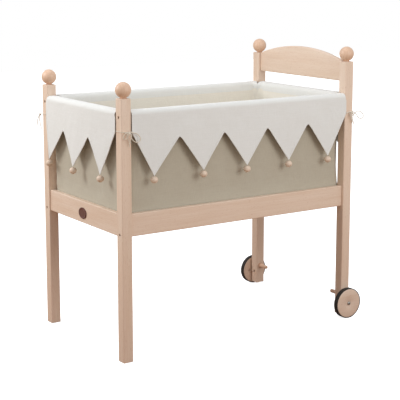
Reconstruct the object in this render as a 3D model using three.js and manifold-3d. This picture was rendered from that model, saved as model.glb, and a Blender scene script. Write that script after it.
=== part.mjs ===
// Bassinet on a wheeled wooden stand, with a zigzag fabric valance.
// Millimetres. X runs from the foot end to the head end, Y across the cot, Z up from the floor.

import * as THREE from 'three';
import { mergeVertices } from 'three/addons/utils/BufferGeometryUtils.js';
import Module from 'manifold-3d';

const wasm = await Module();
wasm.setup();

// ---- Driving dimensions ----------------------------------------------------------------------

const GAP = 0.3; // air left between pieces that touch

const FRAME_LENGTH = 920; // over the outer faces of the posts
const FRAME_WIDTH = 537;
const POST = 35; // square section
const POST_ROUND = 3;
const FOOT_POST_TOP = 833;
const HEAD_POST_TOP = 905;
const HEAD_POST_BOTTOM = 10; // the wheels carry the head end

const RAIL_THICK = 18;
const RAIL_ROUND = 3;
const LONG_RAIL_INSET = 10; // from the posts' outer faces
const END_RAIL_INSET = 6;
const LOWER_RAIL = { bottom: 401, top: 473.5 };
const UPPER_RAIL = { bottom: 755, top: 792, thick: 26, round: 8 };
const BOLT_HOLE = { radius: 5, depth: 12, heights: [410, 776] };

const HEADBOARD = { bottom: 836.5, end: 906, crown: 942, inset: 9, round: 4 };
const BADGE = { width: 50, height: 37, thick: 3, round: 0.8, z: 434 };
const FINIAL = { ball: 25, centre: 26, neck: 9, dowel: 5, dowelLength: 25 };

const LEDGE = { width: 18, height: 18 };
const BASE = { halfLength: 430, halfWidth: 234.5, cutX: 27, cutY: 21, thick: 9 };
const MATTRESS = { length: 824, width: 440, thick: 50, corner: 40, round: 6 };

const CLOTH = 2.5;
const RIM_TOP = 797;
const LINER = { halfLength: 423, halfWidth: 229, cutX: 22, cutY: 20 };
const VALANCE = { tie: 728, standOff: 0.75, overlap: 6 };
const LONG_VALANCE = {
  tips: [-347, -162, 7, 180, 348], notches: [-251.5, -80.5, 90.5, 261.5], tip: 588, notch: 704,
};
const END_VALANCE = { tips: [-216.5, -38, 140.5], notches: [-108, 62], tip: 583, notch: 693 };
const BEAD = { radius: 12, clear: GAP };
const TIE_THICK = 2.6;
const BOW_REACH = 62; // how far the loops stand out from the head posts' centre lines

const WHEEL = { disc: 51, tyre: 53.5, width: 18.5, gap: 3.5, bore: 4.4, round: 2 };
const AXLE = { radius: 4, head: 6.5, headHeight: 4, grip: 24, barrel: 5, barrelLength: 25 };
const BRAKE = {
  rise: 24, shaft: 8, nose: 5, noseLength: 10, handle: 43, hole: 5.6, depth: 8,
  sinkRadius: 10.5, sinkDepth: 2.5,
};

// ---- Worked-out places -----------------------------------------------------------------------

const postX = (FRAME_LENGTH - POST) / 2;
const postY = (FRAME_WIDTH - POST) / 2;
const innerX = postX - POST / 2; // inner faces of the posts
const innerY = postY - POST / 2;
const outerX = FRAME_LENGTH / 2;
const outerY = FRAME_WIDTH / 2;
const axleZ = WHEEL.tyre;
const brakeZ = axleZ + BRAKE.rise;
const wheelInnerY = outerY + WHEEL.gap;
const wheelOuterY = wheelInnerY + WHEEL.width;
const ledgeTop = LOWER_RAIL.bottom + LEDGE.height;
const skirtBottom = ledgeTop + GAP;
const baseBottom = skirtBottom + CLOTH + GAP;
const baseTop = baseBottom + BASE.thick;
const linerBottom = baseTop + GAP;
const mattressBottom = linerBottom + CLOTH + GAP;

// The origin sits midway between the foot valance's beads and the loops at the head posts.
const footReach = outerX + VALANCE.standOff + CLOTH / 2 + BEAD.radius;
const headReach = postX + BOW_REACH + TIE_THICK / 2;
const frameShift = (footReach - headReach) / 2;

// ---- Materials -------------------------------------------------------------------------------

const finish = (color, roughness, metalness = 0) =>
  new THREE.MeshStandardMaterial({ color, roughness, metalness });

const beech = () => finish(0xdec4a6, 0.55);
const turnedBeech = () => finish(0xd6a982, 0.5);
const plywood = () => finish(0xd2b48c, 0.7);
const darkWood = () => finish(0x64423a, 0.5);
const rubber = () => finish(0x2d2926, 0.85);
const steel = () => finish(0xb8b8b8, 0.35, 0.9);
const khakiCotton = () => finish(0xbeb69e, 0.95);
const creamCotton = () => finish(0xe6e4dc, 0.95);
const tieCord = () => finish(0xeee4d2, 0.9);

// ---- Shared helpers --------------------------------------------------------------------------

const bassinet = new THREE.Group();
bassinet.position.x = frameShift;

function addPart(name, geometry, material, x = 0, y = 0, z = 0) {
  const mesh = new THREE.Mesh(geometry, material);
  mesh.name = name;
  mesh.position.set(x, y, z);
  bassinet.add(mesh);
}

/** A closed three.js geometry as a solid that can be cut and joined. */
function solid(geometry) {
  const bare = geometry.clone();
  bare.deleteAttribute('normal');
  bare.deleteAttribute('uv');
  const welded = mergeVertices(bare, 1e-4);
  return new wasm.Manifold(new wasm.Mesh({
    numProp: 3,
    vertProperties: new Float32Array(welded.attributes.position.array),
    triVerts: new Uint32Array(welded.index.array),
  }));
}

function geometryOf(manifold) {
  const mesh = manifold.getMesh();
  const geometry = new THREE.BufferGeometry();
  geometry.setAttribute('position', new THREE.BufferAttribute(mesh.vertProperties, 3));
  geometry.setIndex(new THREE.BufferAttribute(mesh.triVerts, 1));
  return geometry;
}

function roundedOutline(width, height, radius) {
  const x = width / 2 - radius;
  const y = height / 2 - radius;
  const outline = new THREE.Shape();
  outline.absarc(x, y, radius, 0, Math.PI / 2);
  outline.absarc(-x, y, radius, Math.PI / 2, Math.PI);
  outline.absarc(-x, -y, radius, Math.PI, 1.5 * Math.PI);
  outline.absarc(x, -y, radius, 1.5 * Math.PI, 2 * Math.PI);
  return outline;
}

/** A slab of the outline's shape, thick along Z and centred on it, with softened face edges. */
function slab(outline, thick, round, curveSegments = 2) {
  const geometry = new THREE.ExtrudeGeometry(outline, {
    depth: thick - 2 * round,
    bevelEnabled: round > 0,
    bevelThickness: round,
    bevelSize: round,
    bevelOffset: -round,
    bevelSegments: 2,
    curveSegments,
  });
  return geometry.translate(0, 0, round - thick / 2);
}

/** A bar along X with rounded long edges and square ends. */
function barAlongX(length, width, height, round) {
  const bar = slab(roundedOutline(height, width, round), length, 0);
  return bar.rotateY(Math.PI / 2);
}

function barAlongY(length, width, height, round) {
  return barAlongX(length, width, height, round).rotateZ(Math.PI / 2);
}

/** A turned piece about Z: points are [radius, height] from bottom to top. */
function turned(points, segments) {
  const profile = points.map(([radius, height]) => new THREE.Vector2(radius, height));
  return new THREE.LatheGeometry(profile, segments).rotateX(Math.PI / 2);
}

/** A turned piece about Y: points are [radius, y], growing outward on the given side. */
function turnedAcross(points, segments, side) {
  const geometry = turned(points, segments).rotateX(-Math.PI / 2);
  return side > 0 ? geometry : geometry.rotateZ(Math.PI);
}

function arcPoints(radius, centre, from, to, steps) {
  return Array.from({ length: steps + 1 }, (_, i) => {
    const angle = from + (to - from) * i / steps;
    return [Math.max(0, radius * Math.cos(angle)), centre + radius * Math.sin(angle)];
  });
}

function drill(radius, length, axis, x, y, z) {
  const bit = new THREE.CylinderGeometry(radius, radius, length, 16);
  if (axis === 'x') bit.rotateZ(Math.PI / 2);
  if (axis === 'z') bit.rotateX(Math.PI / 2);
  return solid(bit.translate(x, y, z));
}

/** A rectangle with its four corners cut off, counter-clockwise. */
function cutRectangle(halfLength, halfWidth, cutX, cutY) {
  const x = halfLength - cutX;
  const y = halfWidth - cutY;
  return [
    [halfLength, -y], [halfLength, y], [x, halfWidth], [-x, halfWidth],
    [-halfLength, y], [-halfLength, -y], [-x, -halfWidth], [x, -halfWidth],
  ];
}

/** A solid through convex outlines with the same number of corners, from the lowest to the highest. */
function loft(levels) {
  const count = levels[0].outline.length;
  const positions = levels.flatMap(({ outline, z }) => outline.flatMap(([x, y]) => [x, y, z]));
  const index = [];
  for (let level = 0; level < levels.length - 1; level += 1) {
    for (let i = 0; i < count; i += 1) {
      const low = level * count + i;
      const lowNext = level * count + (i + 1) % count;
      index.push(low, lowNext, lowNext + count, low, lowNext + count, low + count);
    }
  }
  const top = (levels.length - 1) * count;
  for (let i = 1; i < count - 1; i += 1) {
    index.push(0, i + 1, i, top, top + i, top + i + 1);
  }
  const geometry = new THREE.BufferGeometry();
  geometry.setAttribute('position', new THREE.Float32BufferAttribute(positions, 3));
  geometry.setIndex(index);
  return solid(geometry);
}

// ---- Posts, rails and headboard --------------------------------------------------------------

const POSTS = [
  { name: 'foot_post_near', end: -1, side: -1 },
  { name: 'foot_post_far', end: -1, side: 1 },
  { name: 'head_post_near', end: 1, side: -1 },
  { name: 'head_post_far', end: 1, side: 1 },
];

/** A post about its own centre line: bolt holes in its end face and a dowel hole in its top. */
function post(end, side) {
  const bottom = end > 0 ? HEAD_POST_BOTTOM : 0;
  const top = end > 0 ? HEAD_POST_TOP : FOOT_POST_TOP;
  const blank = slab(roundedOutline(POST, POST, POST_ROUND), top - bottom, 1.5);
  let wood = solid(blank.translate(0, 0, (top + bottom) / 2));
  for (const z of BOLT_HOLE.heights) {
    const x = end * (POST - BOLT_HOLE.depth) / 2;
    wood = wood.subtract(drill(BOLT_HOLE.radius, BOLT_HOLE.depth + 1, 'x', x + end * 0.5, 0, z));
  }
  const dowelDepth = FINIAL.dowelLength + 2;
  wood = wood.subtract(drill(FINIAL.dowel + GAP, dowelDepth, 'z', 0, 0, top - dowelDepth / 2 + 0.5));
  return end > 0 ? wheelHoles(wood, side) : wood;
}

/** The axle bolt's hole, the barrel nut's cross hole and the brake peg's countersunk hole. */
function wheelHoles(wood, side) {
  const reach = AXLE.grip + 3;
  const axleHole = drill(AXLE.radius + GAP, reach, 'y', 0, side * (POST - reach + 1) / 2, axleZ);
  const nutDepth = (POST + AXLE.barrelLength) / 2 + 1;
  const nutHole = drill(AXLE.barrel + GAP, nutDepth, 'x', (nutDepth - POST - 1) / 2, 0, axleZ);
  const pegHole = drill(BRAKE.shaft + GAP, POST + 2, 'y', 0, 0, brakeZ);
  const { shaft, sinkRadius, sinkDepth } = BRAKE;
  const sink = turnedAcross([[0, 0], [sinkRadius, 0], [shaft, sinkDepth], [0, sinkDepth]], 20, side);
  const countersink = solid(sink.translate(0, -side * (POST / 2 + 0.1), brakeZ));
  return wood.subtract(axleHole).subtract(nutHole).subtract(pegHole).subtract(countersink);
}

function finial() {
  const meet = FINIAL.centre - Math.sqrt(FINIAL.ball ** 2 - FINIAL.neck ** 2);
  const start = Math.atan2(meet - FINIAL.centre, FINIAL.neck);
  return turned([
    [0, -FINIAL.dowelLength],
    [FINIAL.dowel, -FINIAL.dowelLength],
    [FINIAL.dowel, GAP],
    [FINIAL.neck, GAP],
    ...arcPoints(FINIAL.ball, FINIAL.centre, start, Math.PI / 2, 10),
  ], 20);
}

for (const { name, end, side } of POSTS) {
  addPart(name, geometryOf(post(end, side)), beech(), end * postX, side * postY, 0);
  const top = end > 0 ? HEAD_POST_TOP : FOOT_POST_TOP;
  addPart(name.replace('post', 'finial'), finial(), turnedBeech(), end * postX, side * postY, top);
}

const longRail = (width, height, round) => barAlongX(2 * (innerX - GAP), width, height, round);
const endRail = (width, height, round) => barAlongY(2 * (innerY - GAP), width, height, round);
const lowerHeight = LOWER_RAIL.top - LOWER_RAIL.bottom;
const lowerZ = (LOWER_RAIL.top + LOWER_RAIL.bottom) / 2;
const upperHeight = UPPER_RAIL.top - UPPER_RAIL.bottom;
const upperZ = (UPPER_RAIL.top + UPPER_RAIL.bottom) / 2;

for (const [where, side] of [['near', -1], ['far', 1]]) {
  const y = side * (outerY - LONG_RAIL_INSET - RAIL_THICK / 2);
  addPart(`lower_rail_${where}`, longRail(RAIL_THICK, lowerHeight, RAIL_ROUND), beech(), 0, y, lowerZ);
  const upper = longRail(UPPER_RAIL.thick, upperHeight, UPPER_RAIL.round);
  addPart(`upper_rail_${where}`, upper, beech(), 0, side * postY, upperZ);
}

for (const [where, end] of [['foot', -1], ['head', 1]]) {
  const x = end * (outerX - END_RAIL_INSET - RAIL_THICK / 2);
  addPart(`lower_rail_${where}`, endRail(RAIL_THICK, lowerHeight, RAIL_ROUND), beech(), x, 0, lowerZ);
  const upper = endRail(UPPER_RAIL.thick, upperHeight, UPPER_RAIL.round);
  addPart(`upper_rail_${where}`, upper, beech(), end * postX, 0, upperZ);
}

/** An arched board between the head posts; its ends are trimmed square to the posts. */
function headboard() {
  const half = innerY + 12;
  const rise = HEADBOARD.crown - HEADBOARD.end;
  const radius = (innerY ** 2 + rise ** 2) / (2 * rise);
  const centre = HEADBOARD.crown - radius;
  const reach = Math.asin(half / radius);
  const outline = new THREE.Shape();
  outline.moveTo(-half, HEADBOARD.bottom);
  outline.lineTo(half, HEADBOARD.bottom);
  outline.absarc(0, centre, radius, Math.PI / 2 - reach, Math.PI / 2 + reach);
  const board = slab(outline, RAIL_THICK, HEADBOARD.round, 12).rotateX(Math.PI / 2).rotateZ(Math.PI / 2);
  const between = new THREE.BoxGeometry(2 * RAIL_THICK, 2 * (innerY - GAP), 2 * HEADBOARD.crown);
  return solid(board).intersect(solid(between));
}

const headboardX = innerX + HEADBOARD.inset + RAIL_THICK / 2;
addPart('headboard', geometryOf(headboard()), beech(), headboardX, 0, 0);

function badge() {
  const outline = new THREE.Shape();
  outline.absellipse(0, 0, BADGE.width / 2, BADGE.height / 2, 0, 2 * Math.PI);
  return slab(outline, BADGE.thick, BADGE.round, 12).rotateX(Math.PI / 2).rotateZ(Math.PI / 2);
}

const badgeX = -(outerX - END_RAIL_INSET + GAP + BADGE.thick / 2);
addPart('oval_badge', badge(), darkWood(), badgeX, 0, BADGE.z);

// ---- Bed base and mattress -------------------------------------------------------------------

const ledgeY = outerY - LONG_RAIL_INSET - RAIL_THICK - GAP - LEDGE.width / 2;
const ledgeLength = 2 * (innerX - GAP);
for (const [where, side] of [['near', -1], ['far', 1]]) {
  const batten = barAlongX(ledgeLength, LEDGE.width, LEDGE.height, 1);
  const z = LOWER_RAIL.bottom + LEDGE.height / 2;
  addPart(`ledge_${where}`, batten, beech(), 0, side * ledgeY, z);
}

// ---- Fabric: outer bag, liner and valance ----------------------------------------------------

// The bag's outline at four heights. Its corners are cut back so that it passes inside the posts.
const BAG_LEVELS = [
  { z: skirtBottom, halfLength: 435, halfWidth: 239.5, cutX: 25, cutY: 19 },
  { z: 480, halfLength: 435.5, halfWidth: 240, cutX: 20, cutY: 18 },
  { z: 620, halfLength: 439, halfWidth: 244.5, cutX: 41, cutY: 29 },
  { z: UPPER_RAIL.bottom - GAP, halfLength: 443, halfWidth: 251, cutX: 40, cutY: 38 },
];

function bagLevel({ z, halfLength, halfWidth, cutX, cutY }, inset) {
  const outline = cutRectangle(halfLength - inset, halfWidth - inset, cutX - inset / 2, cutY - inset / 2);
  return { z, outline };
}

function outerBag() {
  const outside = loft(BAG_LEVELS.map((level) => bagLevel(level, 0)));
  const inside = BAG_LEVELS.map((level) => bagLevel(level, CLOTH));
  inside[0].z += CLOTH;
  inside[inside.length - 1].z += 1;
  return outside.subtract(loft(inside));
}

addPart('outer_bag', geometryOf(outerBag()), khakiCotton());

const baseOutline = cutRectangle(BASE.halfLength, BASE.halfWidth, BASE.cutX, BASE.cutY);
const baseBoard = loft([{ z: baseBottom, outline: baseOutline }, { z: baseTop, outline: baseOutline }]);
addPart('base_board', geometryOf(baseBoard), plywood());

/** The liner: a tub inside the posts, with rim strips that lie over the four upper rails. */
function liner() {
  const { halfLength, halfWidth, cutX, cutY } = LINER;
  const outer = cutRectangle(halfLength, halfWidth, cutX, cutY);
  const inner = cutRectangle(halfLength - CLOTH, halfWidth - CLOTH, cutX - CLOTH / 2, cutY - CLOTH / 2);
  const rimBottom = UPPER_RAIL.top + GAP;
  const rimThick = RIM_TOP - rimBottom;
  const rimZ = rimBottom + rimThick / 2;
  const clear = 0.6;
  const reach = VALANCE.standOff - 0.35;
  const longRim = new THREE.BoxGeometry(2 * (innerX - clear), 2 * (outerY + reach), rimThick);
  const endRim = new THREE.BoxGeometry(2 * (outerX + reach), 2 * (innerY - clear), rimThick);
  return loft([{ z: linerBottom, outline: outer }, { z: RIM_TOP, outline: outer }])
    .add(solid(longRim.translate(0, 0, rimZ)))
    .add(solid(endRim.translate(0, 0, rimZ)))
    .subtract(loft([{ z: linerBottom + CLOTH, outline: inner }, { z: RIM_TOP + 1, outline: inner }]));
}

addPart('liner', geometryOf(liner()), creamCotton());

const mattress = slab(
  roundedOutline(MATTRESS.length, MATTRESS.width, MATTRESS.corner), MATTRESS.thick, MATTRESS.round);
addPart('mattress', mattress, creamCotton(), 0, 0, mattressBottom + MATTRESS.thick / 2);

/** A zigzag strip that hangs from z = 0 at the rim; it faces -Y until it is turned. */
function valanceStrip(half, pattern) {
  const outline = new THREE.Shape();
  outline.moveTo(half, 0);
  outline.lineTo(-half, 0);
  outline.lineTo(-half, VALANCE.tie - RIM_TOP);
  pattern.tips.forEach((tip, i) => {
    outline.lineTo(tip, pattern.tip - RIM_TOP);
    const notch = pattern.notches[i];
    if (notch !== undefined) outline.lineTo(notch, pattern.notch - RIM_TOP);
  });
  outline.lineTo(half, VALANCE.tie - RIM_TOP);
  return slab(outline, CLOTH, 0).rotateX(Math.PI / 2);
}

/** One side's strip and the wooden bead under each of its points. */
function addValance(where, half, pattern, turn, reach) {
  const y = -reach - VALANCE.standOff - CLOTH / 2;
  const upright = new THREE.Vector3(0, 0, 1);
  const place = (u) => new THREE.Vector3(u, y, 0).applyAxisAngle(upright, turn);
  const middle = place(0);
  const strip = valanceStrip(half, pattern).rotateZ(turn);
  addPart(`valance_${where}`, strip, creamCotton(), middle.x, middle.y, RIM_TOP);
  pattern.tips.forEach((tip, i) => {
    const at = place(tip);
    const z = pattern.tip - BEAD.clear - BEAD.radius;
    addPart(`bead_${where}_${i + 1}`, bead(), turnedBeech(), at.x, at.y, z);
  });
}

function bead() {
  return turned(arcPoints(BEAD.radius, 0, -Math.PI / 2, Math.PI / 2, 6), 12);
}

addValance('near', innerX + VALANCE.overlap, LONG_VALANCE, 0, outerY);
addValance('far', innerX + VALANCE.overlap, LONG_VALANCE, Math.PI, outerY);
addValance('head', innerY + VALANCE.overlap, END_VALANCE, Math.PI / 2, outerX);
addValance('foot', innerY + VALANCE.overlap, END_VALANCE, -Math.PI / 2, outerX);

// ---- Ties ------------------------------------------------------------------------------------

// Routes from a post's centre line: p toward the cot's end, q toward its long side, then height.
const BAND = [
  [20, -9.6, 733], [20.3, -5, 733.2], [20.4, 1, 733.4], [20.3, 8, 733.4], [20.4, 14, 733.2],
  [18.9, 18.9, 733], [14, 20.4, 732.8],
];
const BOWED_TIE = [
  ...BAND,
  [8, 20.6, 732.2], [1, 21.2, 731.6], [-6, 23, 731.2], [-14, 25.4, 730.8], [-23, 27.6, 729.2],
  [-33, 28.8, 724], [-40.5, 29.4, 715.5], [-42.5, 29.6, 706.5], [-37, 29.6, 700.5],
  [-28.5, 29.4, 700], [-20.5, 29.2, 703], [-14, 28.8, 709.5], [-10, 28.8, 717.5],
  [-6.5, 29, 725.5], [-1, 28.8, 728.6], [4, 28.2, 724.5], [3.6, 27.2, 717],
  [-1, 26.2, 710.5], [-5, 25.4, 703.5], [-6.5, 24.6, 695.5], [-6.8, 24, 687],
];
const LOOPED_TIE = [
  ...BAND,
  [9, 21, 732.2], [3, 21.6, 730.4], [-0.6, 22.6, 725.4], [2, 23.8, 720.2], [8, 24.7, 718.8],
  [14, 25.2, 722], [20, 25.6, 727], [27, 25.8, 731.4],
  [36, 25.6, 733], [46, 25.2, 730.5], [55, 24.8, 725], [60.4, 24.4, 717.5], [60, 24.2, 710],
  [53.5, 24.4, 705.6], [45.5, 24.8, 706.5], [37, 25.8, 711.4], [29, 27.4, 718.4],
  [21.5, 28.8, 725.6], [14.5, 29.8, 730.8], [7.4, 30.2, 732], [1.2, 29.9, 728.6],
  [-1.6, 29.2, 722.4], [0.2, 28.2, 715.8], [4.6, 27, 710], [8.6, 25.8, 703], [10.6, 24.8, 695],
];
const HANGING_TIE = [
  ...BAND.slice(0, 4),
  [20.4, 14, 732.4], [21.2, 19.5, 732.4], [23.2, 24.4, 731], [25, 27.2, 726.6],
  [25.6, 27.8, 719.5], [25.4, 27, 711], [24.6, 25.6, 703], [23.4, 24, 694],
  [22.4, 22.8, 686], [22, 22.2, 678],
];

/** A tie on one post: a round cord along its route, with square-cut ends. */
function tie(route, end, side) {
  const points = route.map(([p, q, z]) => new THREE.Vector3(end * p, side * q, z));
  const path = new THREE.CatmullRomCurve3(points, false, 'centripetal');
  const steps = Math.round(path.getLength() / (2.4 * TIE_THICK));
  const section = new THREE.Shape();
  for (let i = 0; i < 8; i += 1) {
    const angle = i * Math.PI / 4;
    const x = TIE_THICK / 2 * Math.cos(angle);
    const y = TIE_THICK / 2 * Math.sin(angle);
    if (i === 0) section.moveTo(x, y);
    else section.lineTo(x, y);
  }
  return new THREE.ExtrudeGeometry(section, { steps, extrudePath: path, bevelEnabled: false });
}

addPart('tie_foot_near', tie(BOWED_TIE, -1, -1), tieCord(), -postX, -postY, 0);
addPart('tie_foot_far', tie(HANGING_TIE, -1, 1), tieCord(), -postX, postY, 0);
addPart('tie_head_near', tie(LOOPED_TIE, 1, -1), tieCord(), postX, -postY, 0);
addPart('tie_head_far', tie(LOOPED_TIE, 1, 1), tieCord(), postX, postY, 0);

// ---- Wheels, axles and brake pegs ------------------------------------------------------------

/** A wooden disc with an axle bore and four blind brake holes in its inner face. */
function wheelDisc(side) {
  const { disc, width, bore, round } = WHEEL;
  const profile = [
    [bore, 0], [disc - round, 0], [disc, round], [disc, width - round], [disc - round, width],
    [bore, width], [bore, 0],
  ];
  let wood = solid(turnedAcross(profile, 32, side));
  for (let i = 0; i < 4; i += 1) {
    const angle = i * Math.PI / 2;
    const x = BRAKE.rise * Math.sin(angle);
    const z = BRAKE.rise * Math.cos(angle);
    wood = wood.subtract(drill(BRAKE.hole, BRAKE.depth + 1, 'y', x, side * (BRAKE.depth - 1) / 2, z));
  }
  return geometryOf(wood);
}

function tyre(side) {
  const inner = WHEEL.disc + GAP;
  const edge = 0.4;
  const low = edge;
  const high = WHEEL.width - edge;
  return turnedAcross([
    [inner, low], [WHEEL.tyre - 1, low], [WHEEL.tyre, low + 1], [WHEEL.tyre, high - 1],
    [WHEEL.tyre - 1, high], [inner, high], [inner, low],
  ], 40, side);
}

/** The axle bolt from its tip inside the post to its domed head, measured from the wheel's face. */
function axleBolt(side) {
  const { radius, head, headHeight, grip } = AXLE;
  const tip = -(WHEEL.width + WHEEL.gap + grip);
  return turnedAcross([
    [0, tip], [radius, tip], [radius, GAP], [head, GAP], [head, GAP + 1.2],
    [head * 0.85, headHeight * 0.7], [head * 0.5, headHeight * 0.93], [0, headHeight],
  ], 16, side);
}

function spacer(side) {
  const thick = WHEEL.gap - 2 * GAP;
  return turnedAcross([[WHEEL.bore, 0], [8, 0], [8, thick], [WHEEL.bore, thick], [WHEEL.bore, 0]], 16, side);
}

function barrelNut() {
  const { barrel, barrelLength, radius } = AXLE;
  const nut = drill(barrel, barrelLength, 'x', 0, 0, 0);
  return geometryOf(nut.subtract(drill(radius + GAP, 4 * barrel, 'y', 0, 0, 0)));
}

/** The brake peg, pulled back: its nose ends just inside the post's outer face. */
function brakePeg(side) {
  const { shaft, nose, noseLength, handle } = BRAKE;
  const tip = POST / 2 - 1;
  const end = -(POST / 2 + handle);
  return turnedAcross([
    [0, end],
    ...arcPoints(shaft, end + shaft, -Math.PI / 3, 0, 4),
    [shaft, tip - noseLength],
    [nose, tip - noseLength],
    [nose, tip - 1],
    [nose - 1, tip],
    [0, tip],
  ], 16, side);
}

for (const [where, side] of [['near', -1], ['far', 1]]) {
  addPart(`wheel_disc_${where}`, wheelDisc(side), beech(), postX, side * wheelInnerY, axleZ);
  addPart(`tyre_${where}`, tyre(side), rubber(), postX, side * wheelInnerY, axleZ);
  addPart(`axle_bolt_${where}`, axleBolt(side), steel(), postX, side * wheelOuterY, axleZ);
  addPart(`spacer_${where}`, spacer(side), steel(), postX, side * (outerY + GAP), axleZ);
  addPart(`barrel_nut_${where}`, barrelNut(), steel(), postX, side * postY, axleZ);
  addPart(`brake_peg_${where}`, brakePeg(side), turnedBeech(), postX, side * postY, brakeZ);
}

export default bassinet;
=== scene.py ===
# %% [markdown]
# # A bassinet on a wooden stand
#
# The real object is a pale beech stand with four square posts, which carries a bed made of cloth.
# A greyish beige cotton bag hangs between the rails, an off-white liner fills it and rolls over
# the rim, and a zigzag valance with a wooden bead on each point hangs round the outside.
#
# The stand is already modelled as a fixed frame. This script loads it, gives each wooden member
# a finish, and makes everything soft or turned as a finer mesh of its own.

# %% Load the frame
import math
import random

import bmesh
import bpy
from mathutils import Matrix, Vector, noise


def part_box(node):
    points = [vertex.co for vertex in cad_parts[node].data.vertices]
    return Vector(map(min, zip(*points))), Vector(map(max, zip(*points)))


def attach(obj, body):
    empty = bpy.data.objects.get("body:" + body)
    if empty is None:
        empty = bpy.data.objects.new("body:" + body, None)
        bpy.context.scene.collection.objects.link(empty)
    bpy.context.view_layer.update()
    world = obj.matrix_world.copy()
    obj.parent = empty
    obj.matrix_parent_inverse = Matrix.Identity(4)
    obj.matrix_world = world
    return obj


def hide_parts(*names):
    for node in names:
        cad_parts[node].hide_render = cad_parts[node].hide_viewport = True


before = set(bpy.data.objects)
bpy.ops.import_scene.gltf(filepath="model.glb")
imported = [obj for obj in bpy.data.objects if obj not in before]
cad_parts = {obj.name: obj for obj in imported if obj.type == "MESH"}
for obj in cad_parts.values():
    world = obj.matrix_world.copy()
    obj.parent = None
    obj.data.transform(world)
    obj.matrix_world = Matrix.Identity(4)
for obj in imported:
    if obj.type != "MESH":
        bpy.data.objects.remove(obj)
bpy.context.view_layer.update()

random.seed(7)

# %% [markdown]
# ## Working units
#
# A joiner thinks in millimetres from the middle of the stand, so the shapes below are given that
# way, and one function turns them into metres in the frame. The sizes that tie the new pieces to
# the stand are read from the frame's own boxes.

# %% Millimetres from the middle of the stand
MM = 0.001


def frame_box(node):
    """Lowest and highest corner of a frame node, in millimetres."""
    low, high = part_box(node)
    return low / MM, high / MM


foot_post = frame_box("foot_post_near")
head_post = frame_box("head_post_near")
STAND_X = (foot_post[0].x + head_post[1].x) / 2
POST = foot_post[1].x - foot_post[0].x
POST_X = head_post[1].x - POST / 2 - STAND_X
POST_Y = -(foot_post[0].y + POST / 2)
INNER_X = POST_X - POST / 2
INNER_Y = POST_Y - POST / 2
RIM_TOP = frame_box("liner")[1].z


def to_frame(point):
    """A point in millimetres from the middle of the stand, as metres in the frame."""
    x, y, z = point
    return Vector(((x + STAND_X) * MM, y * MM, z * MM))


def from_stand(point):
    """The same step backwards, for what is read from the frame."""
    return Vector((point.x - STAND_X, point.y, point.z))


print(f"posts {POST:.0f} mm, {2 * POST_X:.0f} by {2 * POST_Y:.0f} mm apart; rim at {RIM_TOP:.0f} mm")

# %% [markdown]
# ## The camera
#
# The camera comes first, because the ties are checked against what it sees. It stands a little
# above the rim, off the foot end's corner, with a long lens, as for a catalogue picture. A small
# downward shift keeps the posts close to upright.

# %% Set the camera
CAMERA_PLACE = (-2204.7, -3321.5, 1240.0)
CAMERA_YAW = math.radians(33.63)
CAMERA_PITCH = math.radians(9.58)
LENS_MM = 105.3
SENSOR_MM = 36
DOWNWARD_SHIFT = -0.1

camera_data = bpy.data.cameras.new("catalogue_camera")
camera_data.sensor_width = SENSOR_MM
camera_data.lens = LENS_MM
camera_data.shift_y = DOWNWARD_SHIFT
camera = bpy.data.objects.new("catalogue_camera", camera_data)
bpy.context.scene.collection.objects.link(camera)
camera.location = to_frame(CAMERA_PLACE)
looking = Vector((
    math.sin(CAMERA_YAW) * math.cos(CAMERA_PITCH),
    math.cos(CAMERA_YAW) * math.cos(CAMERA_PITCH),
    -math.sin(CAMERA_PITCH),
))
camera.rotation_mode = "QUATERNION"
camera.rotation_quaternion = looking.to_track_quat("-Z", "Y")
bpy.context.scene.camera = camera
bpy.context.scene.view_settings.view_transform = "Standard"
print("camera", round(camera.location.length, 2), "m from the stand's foot")

# %% [markdown]
# ## The ties
#
# Thin rolled cotton ties hold the valance to the posts, a pair at each corner. Each is a soft cord
# 2.6 mm thick. One is sewn to the end strip's edge and taken round the outer corner of its post,
# and its mate is sewn to the long strip. They meet in a knot, with loops or with hanging ends. A
# route is a short list of points, joined by a smooth curve: how far out from the post's centre
# line towards the bed's end, then towards its long side, and the height.

# %% Routes of the four ties
TIE_MM = 2.6
KNOT_MM = 1.15
KNOT_DEPTH_MM = 1.2
KNOT_POINTS = 60
BLUNT_END = 0.6
BAND = [
    (20, -9.6, 733), (20.3, -5, 733.2), (20.4, 1, 733.4), (20.3, 8, 733.4), (20.4, 14, 733.2),
    (18.9, 18.9, 733), (14, 20.4, 732.8),
]
BOWED_TIE = BAND + [
    (8, 20.6, 732.2), (1, 21.2, 731.6), (-6, 23, 731.2), (-14, 25.4, 730.8), (-23, 27.6, 729.2),
    (-33, 28.8, 724), (-40.5, 29.4, 715.5), (-42.5, 29.6, 706.5), (-37, 29.6, 700.5),
    (-28.5, 29.4, 700), (-20.5, 29.2, 703), (-14, 28.8, 709.5), (-10, 28.8, 717.5),
    (-6.5, 29, 725.5), (-1, 28.8, 728.6), (4, 28.2, 724.5), (3.6, 27.2, 717),
    (-1, 26.2, 710.5), (-5, 25.4, 703.5), (-6.5, 24.6, 695.5), (-6.8, 24, 687),
]
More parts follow.
